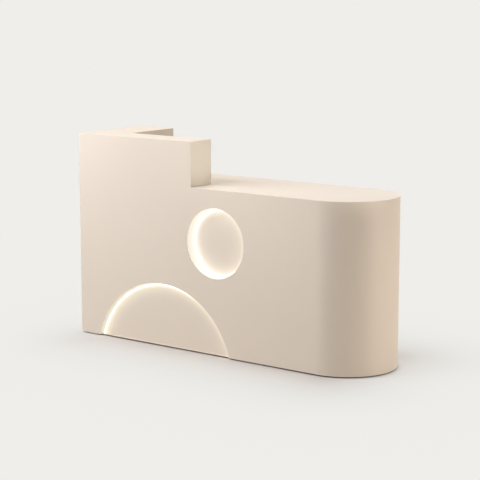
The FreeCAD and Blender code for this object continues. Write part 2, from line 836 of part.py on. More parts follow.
def make_door():
    door = box(x_door_left, x_pivot, y_rear, y_back, z_fronts, z_fronts_top)
    door = door.cut(disc(
        x_door_left, z_fronts_top - door_notch_drop, finger_notch_radius, y_rear, y_back))
    door = round_edges(
        door, edge_round / 2,
        lambda edge: level(edge, "Y", y_back) and edge.BoundBox.XMin < x_pivot - board
        and not level(edge, "Z", z_fronts) and not level(edge, "Z", z_fronts_top))
    nose = rod(Vector(x_pivot, y_pivot, z_fronts), along_z, z_fronts_top - z_fronts, board / 2)
    door = door.fuse(nose).removeSplitter()
    for pin in pivot_pins():
        door = door.cut(pin)
    save("cupboard_door", door)
    save("door_pivot_pins", *pivot_pins())

    bore = pivot_pin_radius + pivot_clearance
    bushes = []
    for start in (z_base - bush_length, z_under_worktop):
        place = Vector(x_pivot, y_pivot, start)
        sleeve = rod(place, along_z, bush_length, bush_hole_radius)
        bushes.append(sleeve.cut(rod(place, along_z, bush_length, bore)))
    place = Vector(x_pivot, y_pivot, z_base)
    washer = rod(place, along_z, bush_flange, bush_hole_radius).cut(rod(place, along_z, bush_flange, bore))
    bushes[0] = bushes[0].fuse(washer).removeSplitter()
    save("door_pivot_bushes", *bushes)

    catch_height = z_fronts_top - catch_drop
    strike = box(
        x_cupboard, x_cupboard + catch_size, y_rear - strike_thick, y_rear,
        catch_height - catch_length / 2, catch_height + catch_length / 2)
    save("strike_plate", strike)
    face = y_rear - strike_thick - catch_gap
    catch = box(
        x_cupboard, x_cupboard + catch_size, face - catch_size, face,
        catch_height - catch_length / 2, catch_height + catch_length / 2)
    save("magnet_catch", catch)


def make_grommet():
    base = Vector(grommet_x, grommet_y, z_under_worktop)
    top = Vector(grommet_x, grommet_y, worktop_height)
    inner = grommet_radius - grommet_wall
    ring = rod(base, along_z, worktop_board, grommet_radius)
    ring = ring.fuse(rod(top, along_z, grommet_wall, grommet_radius + grommet_flange)).removeSplitter()
    ring = round_edges(ring, edge_round / 2, lambda edge: level(edge, "Z", worktop_height + grommet_wall))
    ring = ring.cut(rod(base, along_z, worktop_board + grommet_wall, inner - grommet_lip))
    seat = Vector(grommet_x, grommet_y, worktop_height + grommet_wall - grommet_cap_thick - grommet_cap_gap)
    ring = ring.cut(rod(seat, along_z, worktop_board, inner))
    save("grommet_ring", ring)

    cap_base = seat + along_z * grommet_cap_gap
    cap = rod(cap_base, along_z, grommet_cap_thick, inner - grommet_cap_gap)
    edge = grommet_y + inner
    half = grommet_slot_width / 2
    cap = cap.cut(box(
        grommet_x - half, grommet_x + half, edge - grommet_slot_depth - grommet_lip, edge + grommet_lip,
        cap_base.z - 1, worktop_height + worktop_board))
    save("grommet_cap", cap)


def make_fixings():
    in_lining = screws(lining_screws, along_y * -1, panel_screw_length)
    in_wall = screws(wall_screws, along_x * -1, panel_screw_length)
    save("panel_screws", *in_lining, *in_wall)
    save("recess_screws", *screws(disc_screws + arch_screws, along_y * -1, recess_screw_length))

    brackets = []
    top = z_under_worktop
    for share in (0.2, 0.5, 0.8):
        x = x_wall + share * kneehole_width - bracket_width / 2
        upright = box(
            x, x + bracket_width, y_lining_face, y_lining_face + bracket_thick, top - bracket_leg, top)
        flat = box(
            x, x + bracket_width, y_lining_face, y_lining_face + bracket_leg, top - bracket_thick, top)
        brackets.append(upright.fuse(flat).removeSplitter())
    for face, direction in ((x_wall, 1), (x_pedestal, -1)):
        y = (y_lining_face + y_rear) / 2
        thick_x = sorted((face, face + direction * bracket_thick))
        long_x = sorted((face, face + direction * bracket_leg))
        upright = box(thick_x[0], thick_x[1], y, y + bracket_width, top - bracket_leg, top)
        flat = box(long_x[0], long_x[1], y, y + bracket_width, top - bracket_thick, top)
        brackets.append(upright.fuse(flat).removeSplitter())
    save("angle_brackets", *brackets)


def make_desk():
    os.makedirs("parts", exist_ok=True)
    make_front_panel()
    make_left_wall()
    make_upstand()
    make_worktop()
    make_curved_end()
    make_carcass()
    make_shelf()
    make_feet()
    make_round_recess()
    make_arch_recess()
    make_electrics()
    make_switch()
    make_drawers()
    make_door()
    make_grommet()
    make_fixings()


make_desk()
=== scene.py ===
import math

import bpy
from bpy.props import FloatProperty, FloatVectorProperty, IntProperty, PointerProperty
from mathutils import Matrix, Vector


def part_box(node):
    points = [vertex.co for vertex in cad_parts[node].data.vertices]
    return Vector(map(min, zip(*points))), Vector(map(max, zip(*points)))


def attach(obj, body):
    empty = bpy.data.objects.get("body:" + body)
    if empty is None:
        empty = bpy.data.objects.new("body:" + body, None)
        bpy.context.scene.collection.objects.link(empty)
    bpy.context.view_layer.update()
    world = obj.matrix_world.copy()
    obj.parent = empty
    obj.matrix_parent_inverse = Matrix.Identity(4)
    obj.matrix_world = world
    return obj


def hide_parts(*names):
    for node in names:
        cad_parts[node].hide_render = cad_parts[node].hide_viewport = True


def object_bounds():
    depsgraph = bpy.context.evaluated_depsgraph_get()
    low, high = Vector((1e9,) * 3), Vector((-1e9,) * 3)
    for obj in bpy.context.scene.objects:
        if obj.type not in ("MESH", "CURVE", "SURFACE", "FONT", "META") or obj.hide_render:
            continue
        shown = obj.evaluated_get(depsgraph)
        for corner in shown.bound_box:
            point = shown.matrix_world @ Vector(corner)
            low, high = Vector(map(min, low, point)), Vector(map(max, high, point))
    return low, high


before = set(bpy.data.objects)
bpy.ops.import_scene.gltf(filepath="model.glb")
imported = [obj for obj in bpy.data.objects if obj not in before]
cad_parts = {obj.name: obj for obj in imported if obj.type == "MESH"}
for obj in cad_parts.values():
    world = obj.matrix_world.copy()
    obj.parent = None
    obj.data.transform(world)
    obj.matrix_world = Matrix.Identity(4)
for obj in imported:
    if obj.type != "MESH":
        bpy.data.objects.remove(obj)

bl_info = {
    "name": "Reception desk finish",
    "version": (1, 0, 0),
    "blender": (4, 5, 0),
    "location": "3D View > Sidebar > Desk",
    "description": "Dresses the reception desk with its finishes, lit recesses and small fittings",
    "category": "Object",
}

cad_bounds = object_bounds()

lacquered = [
    "front_panel", "left_end_panel", "left_wall_rear_panel", "left_wall_inner_panel", "ledge_top",
    "upstand_inner_panel", "upstand_end_cap", "worktop", "curved_end_shell", "round_recess_liner",
    "arch_recess_liner", "drawer_1_front", "drawer_2_front", "drawer_3_front", "cupboard_door"]
faced_boards = [
    "left_wall_base", "left_wall_rib", "kneehole_lining", "front_base_rail", "base_board",
    "partition_left", "partition_middle", "cupboard_shelf"]
zinc_plated = [
    "shelf_pins", "foot_studs", "panel_screws", "recess_screws", "angle_brackets", "strike_plate"]

stud_thick = 0.018
back_plate_thick = 0.009

# How a plywood pattern is squeezed along x, y and z; its fibres run along the axis with the factor 1
fibres_along_x = (1.0, 40.0, 12.0)
fibres_along_y = (40.0, 1.0, 12.0)
fibres_along_z = (40.0, 12.0, 1.0)

# Share of a rounded edge's radius at which the middle point of the rounding lies
round_middle = 0.3


def drawer_nodes(part):
    return ["drawer_%d_%s" % (number, part) for number in (1, 2, 3)]


def middle_of(node):
    low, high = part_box(node)
    return (low + high) / 2


def arc_through(node):
    """Centre x, centre z and radius of the arc that closes a flat-footed arch panel."""
    low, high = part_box(node)
    half = (high.x - low.x) / 2
    rise = high.z - low.z
    radius = (half * half + rise * rise) / (2 * rise)
    return (low.x + high.x) / 2, high.z - radius, radius


# Settings a user would change


def colour(name, description, default):
    return FloatVectorProperty(
        name=name, description=description, subtype="COLOR", size=3, min=0.0, max=1.0, default=default)


def length(name, description, default):
    return FloatProperty(name=name, description=description, unit="LENGTH", min=0.0, default=default)


def share(name, description, default):
    return FloatProperty(
        name=name, description=description, subtype="FACTOR", min=0.0, max=1.0, default=default)


def angle(name, description, degrees):
    return FloatProperty(
        name=name, description=description, subtype="ANGLE", default=math.radians(degrees))


class DeskFinishes(bpy.types.PropertyGroup):
    lacquer: colour("Lacquer", "Satin lacquer of the visible boards", (0.745, 0.66, 0.565))
    lacquer_roughness: share("Lacquer roughness", "How matt the lacquer is", 0.55)
    lacquer_mirror: share("Lacquer mirroring", "How strongly the lacquer mirrors the lamps", 0.35)
    board: colour("Faced board", "Matt facing of the inner boards", (0.62, 0.56, 0.47))
    ply_face: colour("Plywood face", "Light plies of the drawer boxes", (0.66, 0.47, 0.28))
    ply_core: colour("Plywood core", "Dark plies between the light ones", (0.42, 0.26, 0.13))
    hardboard: colour("Hardboard", "Painted bottoms of the drawers", (0.60, 0.53, 0.43))
    zinc: colour("Zinc", "Plated screws, pins and brackets", (0.62, 0.63, 0.64))
    brass: colour("Brass", "Pivot pins of the door", (0.78, 0.57, 0.25))
    black_nylon: colour("Black nylon", "Feet, catch and cable bush", (0.022, 0.022, 0.023))
    white_nylon: colour("White nylon", "Runners and pivot bushes", (0.74, 0.73, 0.69))
    grommet: colour("Grommet plastic", "Cable grommet in the worktop", (0.45, 0.38, 0.30))
    switch: colour("Switch plastic", "Light switch", (0.03, 0.03, 0.032))
    driver: colour("Driver case", "Case of the light driver", (0.66, 0.67, 0.68))
    sheath: colour("Cable sheath", "Sheath of the low-voltage cables", (0.03, 0.03, 0.03))


class DeskLight(bpy.types.PropertyGroup):
    glow: colour("Light colour", "Warm white of both light strips", (1.0, 0.98, 0.89))
    warm: colour("Arch colour", "Warmer white of the narrow arch", (1.0, 0.98, 0.76))
    opal: colour("Opal", "Unlit colour of the diffusers", (0.80, 0.75, 0.66))
    slot_level: FloatProperty(
        name="Slot level", description="Brightness of the lit slots", min=0.0, default=1.5)
    # The sleeve brightness paints light: glow along the sleeves that stands in for the slots' light on
    # the recess walls.
    round_wall: share("Round wall", "Brightness of the round sleeve against its slot", 0.245)
    arch_wall: share("Arch wall", "Brightness of the arch sleeve against its slot", 0.165)
    # The washes and their lean paint light: glow on the panel rims that stands in for the slots' light,
    # stronger towards one side.
    round_painted_glow: share("Round wash", "Light on the rim of the round disc", 0.465)
    arch_painted_glow: share("Arch wash", "Light on the rim of the arch panel", 0.41)
    round_reach: length("Round reach", "Distance over which the wash of the disc fades to a third", 0.025)
    arch_reach: length("Arch reach", "Distance over which the wash of the arch fades to a third", 0.016)
    lean: share("Lean", "How much stronger the wash is towards one side", 0.95)
    lean_angle: angle("Lean angle", "Side on which the wash is strongest, counted from the right", 155)
    strip: colour("Strip", "White of the flexible light strips", (0.82, 0.80, 0.74))
    lamp: colour("Strip lamps", "Yellow of the small lamps on the strips", (0.93, 0.66, 0.12))
    lamp_level: share("Strip lamp level", "Brightness of the small lamps", 0.5)
    lamp_pitch: length("Lamp pitch", "From one lamp of a strip to the next", 0.0167)
    lamp_share: share("Lamp share", "Part of the pitch that a lamp takes up", 0.32)


class DeskFittings(bpy.types.PropertyGroup):
    soft_edge: length("Soft edge", "Rounding of moulded edges", 0.0008)
    screw_head: length("Screw head", "Radius of the pan head screws", 0.0032)
    screw_height: length("Screw height", "Height of the pan head screws", 0.0022)
    bracket_leg: length("Bracket leg", "Length of a bracket's legs", 0.03)
    bracket_width: length("Bracket width", "Width of a bracket", 0.02)
    bracket_thick: length("Bracket thickness", "Sheet thickness of a bracket", 0.002)
    grommet_flange: length("Grommet flange", "How far the flange overlaps the worktop", 0.004)
    grommet_lip: length("Grommet lip", "Width of the ledge under the cap", 0.002)
    cap_gap: length("Cap gap", "Play round and under the cap", 0.0004)
    cap_dish: length("Cap dish", "Depth of the dish in the cap", 0.0007)
    cable_slot: length("Cable slot", "Width of the slot in the cap", 0.016)
    cable_slot_depth: length("Cable slot depth", "How far the slot runs in from the rim", 0.0136)
    paddle_width: length("Paddle width", "Width of the switch paddle", 0.01145)
    paddle_length: length("Paddle length", "Length of the switch paddle", 0.0178)
    paddle_front: length("Paddle front", "From the pin to the tips of the paddle", 0.008)
    paddle_rear: length("Paddle rear", "From the pin to the back of the paddle", 0.0032)
    paddle_dip: length("Paddle dip", "How far the middle of the paddle lies behind its tips", 0.002)
    paddle_pin: length("Paddle pin", "Radius of the paddle's pin", 0.0015)
    paddle_pin_length: length("Paddle pin length", "Length of the paddle's pin", 0.015)
    pin_soft: length("Pin edge", "Rounding of the paddle's pin and of the catch's pole plates", 0.0003)
    paddle_set_back: length("Paddle set-back", "From the rim of the switch to the pin", 0.006)
    rocker_tilt: angle("Rocker tilt", "Tilt of the switch paddle when on", 9)
    grip_ribs: IntProperty(
        name="Grip ribs", description="Raised ribs on the switch paddle", min=1, default=3)


class DeskStage(bpy.types.PropertyGroup):
    backdrop: colour("Backdrop", "Flat tone behind the desk", (0.863, 0.855, 0.823))
    floor: colour("Floor", "Pale floor under the desk", (0.67, 0.63, 0.60))
    fill: colour("Fill", "Tint of the even light from all sides", (1.0, 0.909, 0.818))
    ambient: FloatProperty(name="Ambient", description="Even light from all sides", min=0.0, default=0.19)
    lamp_level: FloatProperty(
        name="Lamps", description="Share of the lamps' written power", subtype="FACTOR", min=0.0,
        default=1.0)
    shade_reach: length("Shade reach", "Distance over which the floor's shade fades to a third", 0.19)
    shade_inset: length("Shade inset", "How far inside the desk's ends the shade begins to fade", 0.19)
    # The contact settings paint shade: they darken the floor's colour where the desk's foot encloses it.
    contact_reach: length("Contact reach", "How near the desk's foot darkens the floor", 0.03)
    contact_open: share("Contact openness", "How open the floor still is where it begins to darken", 0.3)
    contact_shade: share("Contact shade", "Brightness of the floor where it is fully enclosed", 0.2)
    focal: FloatProperty(
        name="Lens", description="Focal length of the camera", unit="CAMERA", min=1.0, default=112.9)
    eye: FloatVectorProperty(
        name="Camera place", description="Where the camera stands", subtype="TRANSLATION", size=3,
        default=(4.124, -5.411, 1.649))
    heading: angle("Heading", "Turn of the camera to its left", 37.41)
    dip: angle("Dip", "How far the camera looks down", 9.57)


# Node building


def feed(tree, socket, value):
    if isinstance(value, bpy.types.NodeSocket):
        tree.links.new(value, socket)
    else:
        socket.default_value = value


def put(tree, kind, wires=None, **options):
    """Adds a node, sets its options and feeds its inputs with numbers or sockets."""
    node = tree.nodes.new(kind)
    for name, value in options.items():
        setattr(node, name, value)
    for name, value in (wires or {}).items():
        feed(tree, node.inputs[name], value)
    return node


def calc(tree, operation, *values):
    node = put(tree, "ShaderNodeMath", operation=operation)
    for socket, value in zip(node.inputs, values):
        feed(tree, socket, value)
    return node.outputs["Value"]


def mottle(tree, vector, scale, detail):
    wires = {"Vector": vector, "Scale": scale, "Detail": detail}
    return put(tree, "ShaderNodeTexNoise", wires).outputs["Fac"]


def stretched(tree, vector, factors):
    return put(tree, "ShaderNodeMapping", {"Vector": vector, "Scale": factors}).outputs["Vector"]


def between(tree, factor, first, second):
    """Colour between two colours; the Mix node's colour sockets can only be told apart by number."""
    node = put(tree, "ShaderNodeMix", data_type="RGBA")
    for index, value in ((0, factor), (6, first), (7, second)):
        feed(tree, node.inputs[index], value)
    return node.outputs[2]


def spread(tree, value, low, high, to_low, to_high):
    wires = {"Value": value, "From Min": low, "From Max": high, "To Min": to_low, "To Max": to_high}
    return put(tree, "ShaderNodeMapRange", wires).outputs["Result"]


def solid(rgb, level=1.0):
    return tuple(part * level for part in rgb) + (1.0,)


def new_group(name, inputs, outputs):
    tree = bpy.data.node_groups.new(name, "ShaderNodeTree")
    for label, kind, value in inputs:
        socket = tree.interface.new_socket(label, in_out="INPUT", socket_type=kind)
        if value is not None:
            socket.default_value = value
    for label, kind in outputs:
        tree.interface.new_socket(label, in_out="OUTPUT", socket_type=kind)
    entry = tree.nodes.new("NodeGroupInput")
    leave = tree.nodes.new("NodeGroupOutput")
    return tree, entry.outputs, leave.inputs


NUMBER = "NodeSocketFloat"
VECTOR = "NodeSocketVector"


def make_film_group():
    """Sprayed or moulded skin: slow drift of tone, slow drift of gloss, fine surface peel."""
    tree, given, result = new_group(
        "sprayed_film",
        [("Vector", VECTOR, None), ("Grain", NUMBER, 300.0), ("Mean Roughness", NUMBER, 0.4),
         ("Drift", NUMBER, 0.06)],
        [("Tone", NUMBER), ("Roughness", NUMBER), ("Height", NUMBER)])
    drift = mottle(tree, given["Vector"], scale=2.4, detail=3.0)
    speck = mottle(tree, given["Vector"], scale=700.0, detail=1.0)
    tone = calc(tree, "MULTIPLY_ADD", speck, 0.15, calc(tree, "MULTIPLY", drift, 0.85))
    tree.links.new(tone, result["Tone"])
    polish = calc(tree, "SUBTRACT", mottle(tree, given["Vector"], scale=14.0, detail=4.0), 0.5)
    roughness = calc(tree, "MULTIPLY_ADD", polish, given["Drift"], given["Mean Roughness"])
    tree.links.new(roughness, result["Roughness"])
    tree.links.new(mottle(tree, given["Vector"], given["Grain"], detail=2.0), result["Height"])
    return tree


def make_painted_glow_group():
    """Painted light: glow that falls off from the rim of a round panel towards its middle, stronger on
    one side, standing in for the light of the slot round the panel.
    """
    tree, given, result = new_group(
        "painted_rim_glow",
        [("Vector", VECTOR, None), ("Centre X", NUMBER, 0.0), ("Centre Z", NUMBER, 0.0),
         ("Rim", NUMBER, 0.1), ("Reach", NUMBER, 0.03), ("Lean", NUMBER, 0.0),
         ("Lean Angle", NUMBER, 0.0)],
        [("Painted Glow", NUMBER), ("Angle", NUMBER)])
    place = put(tree, "ShaderNodeSeparateXYZ", {"Vector": given["Vector"]}).outputs
    across = calc(tree, "SUBTRACT", place["X"], given["Centre X"])
    up = calc(tree, "SUBTRACT", place["Z"], given["Centre Z"])
    square = calc(tree, "ADD", calc(tree, "MULTIPLY", across, across), calc(tree, "MULTIPLY", up, up))
    outward = calc(tree, "SQRT", square)
    inward = calc(tree, "MAXIMUM", calc(tree, "SUBTRACT", given["Rim"], outward), 0.0)
    depth = calc(tree, "DIVIDE", inward, given["Reach"])
    fall = calc(tree, "EXPONENT", calc(tree, "MULTIPLY", depth, -1.0))
    bearing = calc(tree, "ARCTAN2", up, across)
    facing = calc(tree, "COSINE", calc(tree, "SUBTRACT", bearing, given["Lean Angle"]))
    side = calc(tree, "MULTIPLY_ADD", facing, given["Lean"], 1.0)
    strongest = calc(tree, "ADD", given["Lean"], 1.0)
    tree.links.new(calc(tree, "DIVIDE", calc(tree, "MULTIPLY", fall, side), strongest), result["Painted Glow"])
    tree.links.new(bearing, result["Angle"])
    return tree


def make_grain_group():
    """Long wood fibres along one direction of the board."""
    tree, given, result = new_group(
        "birch_grain",
        [("Vector", VECTOR, None)],
        [("Grain", NUMBER), ("Height", NUMBER)])
    broad = mottle(tree, given["Vector"], scale=6.0, detail=3.0)
    fine = mottle(tree, given["Vector"], scale=60.0, detail=4.0)
    grain = calc(tree, "MULTIPLY_ADD", broad, 0.6, calc(tree, "MULTIPLY", fine, 0.4))
    tree.links.new(grain, result["Grain"])
    tree.links.new(fine, result["Height"])
    return tree


def make_metal_group():
    """Plated or drawn metal: faint crystals and drawing lines."""
    tree, given, result = new_group(
        "plated_metal",
        [("Vector", VECTOR, None), ("Least Roughness", NUMBER, 0.3)],
        [("Tone", NUMBER), ("Roughness", NUMBER), ("Height", NUMBER)])
    crystals = put(
        tree, "ShaderNodeTexVoronoi", {"Vector": given["Vector"], "Scale": 420.0}).outputs["Distance"]
    drawn = stretched(tree, given["Vector"], (1.0, 1.0, 18.0))
    lines = mottle(tree, drawn, scale=260.0, detail=3.0)
    tone = calc(tree, "MULTIPLY_ADD", crystals, 0.5, calc(tree, "MULTIPLY", lines, 0.5))
    tree.links.new(tone, result["Tone"])
    tree.links.new(calc(tree, "MULTIPLY_ADD", lines, 0.16, given["Least Roughness"]), result["Roughness"])
    tree.links.new(lines, result["Height"])
    return tree


def shared_group(name):
    makers = {
        "sprayed_film": make_film_group,
        "painted_rim_glow": make_painted_glow_group,
        "birch_grain": make_grain_group,
        "plated_metal": make_metal_group,
    }
    return bpy.data.node_groups.get(name) or makers[name]()


def place_group(tree, name, wires):
    node = tree.nodes.new("ShaderNodeGroup")
    node.node_tree = shared_group(name)
    for label, value in wires.items():
        feed(tree, node.inputs[label], value)
    return node.outputs


def new_finish(name):
    """Material with one Principled shader; gives back the material, its tree, shader and coordinates."""
    material = bpy.data.materials.new(name)
    material.use_nodes = True
    tree = material.node_tree
    tree.nodes.clear()
    shader = tree.nodes.new("ShaderNodeBsdfPrincipled")
    output = tree.nodes.new("ShaderNodeOutputMaterial")
    tree.links.new(shader.outputs["BSDF"], output.inputs["Surface"])
    place = tree.nodes.new("ShaderNodeTexCoord").outputs["Object"]
    return material, tree, shader, place


def raise_surface(tree, shader, height, strength, distance):
    bump = put(tree, "ShaderNodeBump", {"Height": height, "Strength": strength, "Distance": distance})
    tree.links.new(bump.outputs["Normal"], shader.inputs["Normal"])


# Finishes


def coat(name, rgb, roughness, grain, depth, swing=0.02, mirror=0.5):
    """Lacquer, facing or moulded plastic: one colour with drift, peel and uneven gloss.

    grain is how fine the peel is, depth how high it stands and swing how far the tone drifts."""
    material, tree, shader, place = new_finish(name)
    film = place_group(
        tree, "sprayed_film", {"Vector": place, "Grain": grain, "Mean Roughness": roughness})
    tone = between(tree, film["Tone"], solid(rgb, 1 - swing), solid(rgb, 1 + swing))
    tree.links.new(tone, shader.inputs["Base Color"])
    tree.links.new(film["Roughness"], shader.inputs["Roughness"])
    shader.inputs["Specular IOR Level"].default_value = mirror
    raise_surface(tree, shader, film["Height"], 0.12, depth)
    return material, tree, shader, place


def coated(name, rgb, roughness, grain, depth, swing):
    return coat(name, rgb, roughness, grain, depth, swing)[0]


def satin(name, finishes):
    """Sprayed lacquer of the visible boards."""
    return coat(
        name, finishes.lacquer, finishes.lacquer_roughness, grain=320.0, depth=0.0002,
        mirror=finishes.lacquer_mirror)


def painted_glow_lacquer(name, finishes, light, tint, centre_x, centre_z, rim, reach, level):
    """Lacquered panel with painted light on its rim: a glow that stands in for the light of the slot
    round it, stronger towards one side.
    """
    material, tree, shader, place = satin(name, finishes)
    painted_glow = place_group(tree, "painted_rim_glow", {
        "Vector": place, "Centre X": centre_x, "Centre Z": centre_z, "Rim": rim, "Reach": reach,
        "Lean": light.lean, "Lean Angle": light.lean_angle})
    # Painted light: the rim glow, a pool of the slot's light painted into the panel's emission.
    tone = between(tree, painted_glow["Painted Glow"], (0.0, 0.0, 0.0, 1.0), solid(tint))
    tree.links.new(tone, shader.inputs["Emission Color"])
    shader.inputs["Emission Strength"].default_value = level * (1.0 + light.lean)
    return material


def opal_lens_with_painted_glow(name, light, front, face, wall, tint):
    """Diffuser: full brightness in the slot, softer and tinted along the sleeve, where the glow is
    painted light that stands in for the slot's light on the recess wall.
    """
    material, tree, shader, place = coat(name, light.opal, roughness=0.5, grain=500.0, depth=0.0001)
    depth = put(tree, "ShaderNodeSeparateXYZ", {"Vector": place}).outputs["Y"]
    wall_by_slot = wall * 1.25
    # Painted light along the sleeve: brighter towards the slot, as the slot's light on the recess wall.
    level = spread(tree, depth, front, face, wall, wall_by_slot)
    painted_sleeve_glow = between(tree, level, (0.0, 0.0, 0.0, 1.0), solid(tint))
    slot = calc(tree, "GREATER_THAN", depth, face)
    tree.links.new(between(tree, slot, painted_sleeve_glow, solid(light.glow)), shader.inputs["Emission Color"])
    shader.inputs["Emission Strength"].default_value = light.slot_level
    return material


def lamp_strip(name, light, centre_x, centre_z, radius):
    """White flexible strip with a row of small yellow lamps."""
    material, tree, shader, place = new_finish(name)
    bearing = place_group(tree, "painted_rim_glow", {
        "Vector": place, "Centre X": centre_x, "Centre Z": centre_z, "Rim": radius})["Angle"]
    along = calc(tree, "FRACT", calc(tree, "MULTIPLY", bearing, radius / light.lamp_pitch))
    aside = calc(tree, "ABSOLUTE", calc(tree, "SUBTRACT", along, 0.5))
    lamp = calc(tree, "LESS_THAN", aside, light.lamp_share / 2)
    tone = between(tree, lamp, solid(light.strip), solid(light.lamp))
    tree.links.new(tone, shader.inputs["Base Color"])
    glow = between(tree, lamp, (0.0, 0.0, 0.0, 1.0), solid(light.glow))
    tree.links.new(glow, shader.inputs["Emission Color"])
    shader.inputs["Emission Strength"].default_value = light.lamp_level
    tree.links.new(spread(tree, lamp, 0.0, 1.0, 0.45, 0.2), shader.inputs["Roughness"])
    return material


def plywood(name, finishes, axis, face, thick, squeeze):
    """Birch plywood: plies show across the thickness, fibres run along the board.

    face is the coordinate of the board's face on that axis; a board pair that mirrors about a
    middle line gives that line as a second number."""
    material, tree, shader, place = new_finish(name)
    across = put(tree, "ShaderNodeSeparateXYZ", {"Vector": place}).outputs[axis]
    if isinstance(face, tuple):
        across = calc(tree, "ABSOLUTE", calc(tree, "SUBTRACT", across, face[1]))
        face = face[0]
    plies = 9
    layer = calc(tree, "MULTIPLY", calc(tree, "SUBTRACT", across, face), plies / thick)
    odd = calc(tree, "GREATER_THAN", calc(tree, "PINGPONG", layer, 1.0), 0.5)
    fibre = place_group(tree, "birch_grain", {"Vector": stretched(tree, place, squeeze)})
    light_ply = between(
        tree, fibre["Grain"], solid(finishes.ply_face, 0.86), solid(finishes.ply_face, 1.12))
    dark_ply = between(
        tree, fibre["Grain"], solid(finishes.ply_core, 0.85), solid(finishes.ply_core, 1.15))
    tree.links.new(between(tree, odd, light_ply, dark_ply), shader.inputs["Base Color"])
    tree.links.new(spread(tree, fibre["Grain"], 0.0, 1.0, 0.42, 0.58), shader.inputs["Roughness"])
    raise_surface(tree, shader, fibre["Height"], 0.15, 0.0003)
    return material


def metal(name, rgb, roughness):
    material, tree, shader, place = new_finish(name)
    plated = place_group(tree, "plated_metal", {"Vector": place, "Least Roughness": roughness})
    tone = between(tree, plated["Tone"], solid(rgb, 0.88), solid(rgb, 1.1))
    tree.links.new(tone, shader.inputs["Base Color"])
    tree.links.new(plated["Roughness"], shader.inputs["Roughness"])
    shader.inputs["Metallic"].default_value = 1.0
    raise_surface(tree, shader, plated["Height"], 0.1, 0.0001)
    return material


def dress(nodes, material):
    for node in nodes:
        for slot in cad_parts[node].material_slots:
            slot.material = material


# Modelling by hand


def clear_hands():
    if bpy.context.mode != "OBJECT":
        bpy.ops.object.mode_set(mode="OBJECT")
    bpy.ops.object.select_all(action="DESELECT")


def pick(piece):
    clear_hands()
    piece.select_set(True)
    bpy.context.view_layer.objects.active = piece


def edit_all(piece):
    pick(piece)
    bpy.ops.object.mode_set(mode="EDIT")
    bpy.ops.mesh.select_all(action="SELECT")


def hold_points(piece, wanted):
    """Selects the points of the piece for which wanted is true, and goes back to edit mode."""
    bpy.ops.mesh.select_all(action="DESELECT")
    bpy.ops.object.mode_set(mode="OBJECT")
    for vertex in piece.data.vertices:
        vertex.select = wanted(vertex.co)
    bpy.ops.object.mode_set(mode="EDIT")


def take_active(name):
    piece = bpy.context.active_object
    piece.name = name
    piece.data.name = name
    return piece


def settle(piece):
    """Puts the piece's place into its mesh and smooths its round faces."""
    pick(piece)
    bpy.ops.object.transform_apply(location=True, rotation=True, scale=True)
    edit_all(piece)
    bpy.ops.mesh.remove_doubles(threshold=0.00001)
    bpy.ops.mesh.normals_make_consistent(inside=False)
    bpy.ops.object.mode_set(mode="OBJECT")
    bpy.ops.object.shade_smooth_by_angle(angle=math.radians(35))
    return piece


def block(name, low, high):
    """Box between two corners, with its place in the mesh."""
    clear_hands()
    low = Vector(low)
    high = Vector(high)
    bpy.ops.mesh.primitive_cube_add(size=1.0, location=(low + high) / 2)
    piece = take_active(name)
    piece.scale = high - low
    bpy.ops.object.transform_apply(location=True, rotation=True, scale=True)
    return piece


def soften(piece, width, segments=2):
    pick(piece)
    bevel = piece.modifiers.new("soft edges", "BEVEL")
    bevel.width = width
    bevel.segments = segments
    bevel.limit_method = "ANGLE"
    bevel.angle_limit = math.radians(40)
    bpy.ops.object.modifier_apply(modifier=bevel.name)


def carve(piece, cutter):
    """Cuts the cutter out of the piece and removes the cutter.

    The cut mesh is then put in a fixed order, so that a later bevel comes out the same in every run."""
    pick(piece)
    cut = piece.modifiers.new("carve", "BOOLEAN")
    cut.operation = "DIFFERENCE"
    cut.solver = "MANIFOLD"
    cut.object = cutter
    bpy.ops.object.modifier_apply(modifier=cut.name)
    pick(cutter)
    bpy.ops.object.delete()
    edit_all(piece)
    bpy.ops.mesh.sort_elements(type="CURSOR_DISTANCE", elements={"VERT", "EDGE", "FACE"})
    bpy.ops.object.mode_set(mode="OBJECT")


def gather(name, pieces):
    pick(pieces[0])
    for piece in pieces[1:]:
        piece.select_set(True)
    bpy.ops.object.join()
    return take_active(name)


def turn_up(name, centre, profile, sides, filled):
    """Turned piece: a circle drawn upwards through (radius, height) points about a vertical line."""
    clear_hands()
    radius, height = profile[0]
    bpy.ops.mesh.primitive_circle_add(
        vertices=sides, radius=radius, fill_type="NGON" if filled else "NOTHING",
        location=(centre[0], centre[1], height))
    piece = take_active(name)
    bpy.ops.object.transform_apply(location=True, rotation=True, scale=True)
    edit_all(piece)
    for next_radius, next_height in profile[1:]:
        bpy.ops.mesh.extrude_region_move(
            TRANSFORM_OT_translate={"value": (0.0, 0.0, next_height - height)})
        factor = next_radius / radius
        bpy.ops.transform.resize(
            value=(factor, factor, 1.0), center_override=(centre[0], centre[1], next_height))
        radius, height = next_radius, next_height
    bpy.ops.object.mode_set(mode="OBJECT")
    return piece


def copy_of(piece):
    pick(piece)
    bpy.ops.object.duplicate(linked=False)
    return bpy.context.active_object


def dressed(piece, material, body):
    piece.data.materials.clear()
    piece.data.materials.append(material)
    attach(piece, body)


